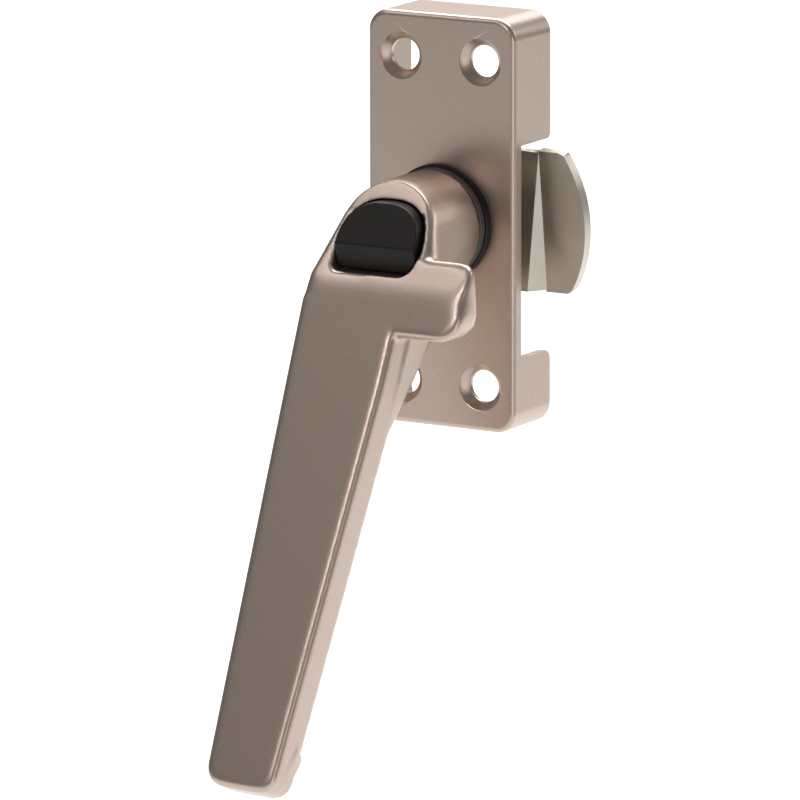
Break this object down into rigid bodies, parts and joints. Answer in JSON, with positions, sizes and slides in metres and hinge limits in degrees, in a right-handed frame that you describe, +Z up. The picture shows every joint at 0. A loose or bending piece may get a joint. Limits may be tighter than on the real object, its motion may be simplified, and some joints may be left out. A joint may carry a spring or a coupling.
{
  "type": "window lock",
  "caption": "Surface-mounted window lock: cast casing, sloping lever handle with push button, and a cranked tongue that turns out of the side.",
  "frame": {"origin": "on the spindle axis, in the mounting plane that the open back of the casing rests on", "axes": "+Y into the window frame, along the spindle axis; -Y towards the room, the side that the handle is on; +Z up along the casing; +X to the right seen from the room, the side that the tongue comes out of"},
  "size_m": [0.0393, 0.074, 0.1318],
  "materials": {
    "coated_casting": "bronze-grey metallic powder coat, satin",
    "black_plastic": "black, fine satin",
    "black_rubber": "black, matt",
    "passivated_steel": "yellow-passivated zinc plate",
    "zinc_steel": "bright zinc plate",
    "spring_steel": "bright drawn spring steel"
  },
  "bodies": {
    "casing": {"casing": "coated_casting", "bearing_bush": "black_plastic", "friction_ring": "black_rubber", "lock_plate": "zinc_steel", "lock_plate_rivets": "zinc_steel"},
    "handle": {"handle": "coated_casting", "spindle": "zinc_steel", "handle_cross_pin": "zinc_steel", "button_keeper_pin": "zinc_steel", "thrust_washer": "zinc_steel", "wave_washer": "spring_steel", "spacer": "zinc_steel", "tongue": "passivated_steel", "tongue_washer": "zinc_steel", "split_washer": "spring_steel", "tongue_screw": "zinc_steel", "button_spring": "spring_steel"},
    "button": {"push_button": "black_plastic", "lock_pin": "zinc_steel", "lock_collar": "zinc_steel"}
  },
  "joints": [
    {"name": "handle_turn", "type": "hinge", "parent": "casing", "child": "handle", "pos_m": [0, 0, 0], "axis": [0, 1, 0], "range_deg": [0, 90]},
    {"name": "button_press", "type": "slide", "parent": "handle", "child": "button", "axis": [0, 1, 0], "range_m": [0, 0.0025], "stiffness_N_per_m": 800, "springref_m": -0.001, "deforming": ["button_spring"]}
  ]
}
